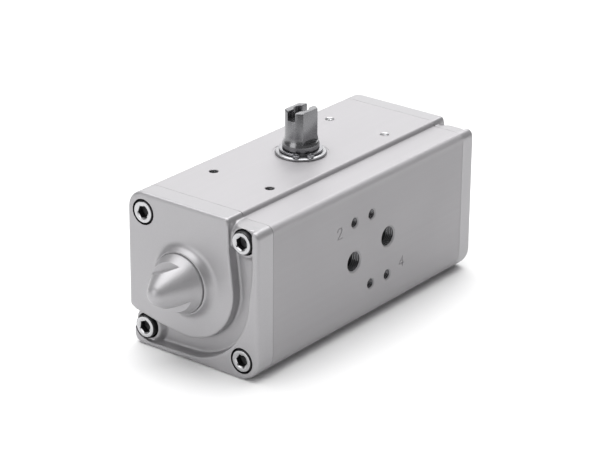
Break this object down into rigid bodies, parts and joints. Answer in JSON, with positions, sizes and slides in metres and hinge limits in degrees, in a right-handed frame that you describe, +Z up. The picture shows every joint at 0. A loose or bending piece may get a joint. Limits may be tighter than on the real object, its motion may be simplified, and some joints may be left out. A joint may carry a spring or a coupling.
{
  "type": "rotary pneumatic actuator",
  "caption": "Double-acting quarter-turn pneumatic actuator: a square aluminium cylinder with opposed rack pistons that turn a slotted vertical drive shaft.",
  "frame": {"origin": "centre of the base face, under the middle of the cylinder", "axes": "+X along the cylinder, +Z up along the drive shaft, the air ports face -Y"},
  "size_m": [0.1954, 0.069, 0.089],
  "materials": {
    "body": "satin anodised extrusion with fine lengthwise lines",
    "cap": "fine blasted die casting",
    "screw_steel": "bright plated steel",
    "shaft_steel": "turned and ground steel",
    "spring_steel": "stamped spring steel",
    "washer_steel": "turned steel",
    "piston_alloy": "machined aluminium",
    "rubber": "matt nitrile rubber",
    "bearing_plastic": "natural acetal"
  },
  "bodies": {
    "root": {"housing": "body", "front_cap": "cap", "rear_cap": "cap", "front_cap_screw_1": "screw_steel", "front_cap_screw_2": "screw_steel", "front_cap_screw_3": "screw_steel", "front_cap_screw_4": "screw_steel", "rear_cap_screw_1": "screw_steel", "rear_cap_screw_2": "screw_steel", "rear_cap_screw_3": "screw_steel", "rear_cap_screw_4": "screw_steel", "front_cap_seal": "rubber", "rear_cap_seal": "rubber", "upper_shaft_bush": "bearing_plastic", "lower_shaft_bush": "bearing_plastic", "inner_thrust_washer": "bearing_plastic"},
    "drive_shaft": {"drive_shaft": "shaft_steel", "retaining_ring": "spring_steel", "top_thrust_washer": "washer_steel", "upper_shaft_o_ring": "rubber", "lower_shaft_o_ring": "rubber"},
    "piston_left": {"piston_left": "piston_alloy", "piston_guide_ring_left": "bearing_plastic", "piston_seal_left": "rubber", "rack_pad_left": "bearing_plastic"},
    "piston_right": {"piston_right": "piston_alloy", "piston_guide_ring_right": "bearing_plastic", "piston_seal_right": "rubber", "rack_pad_right": "bearing_plastic"}
  },
  "joints": [
    {"name": "shaft_turn", "type": "hinge", "parent": "root", "child": "drive_shaft", "pos_m": [0, 0.0037, 0.045], "axis": [0, 0, 1], "range_deg": [0, 90]},
    {"name": "piston_right_slide", "type": "slide", "parent": "root", "child": "piston_right", "axis": [1, 0, 0], "range_m": [0, 0.0189]},
    {"name": "piston_left_slide", "type": "slide", "parent": "root", "child": "piston_left", "axis": [-1, 0, 0], "range_m": [0, 0.0189]}
  ],
  "couplings": [
    {"joint": "piston_right_slide", "follows": "shaft_turn", "m_per_rad": 0.012},
    {"joint": "piston_left_slide", "follows": "shaft_turn", "m_per_rad": 0.012}
  ]
}
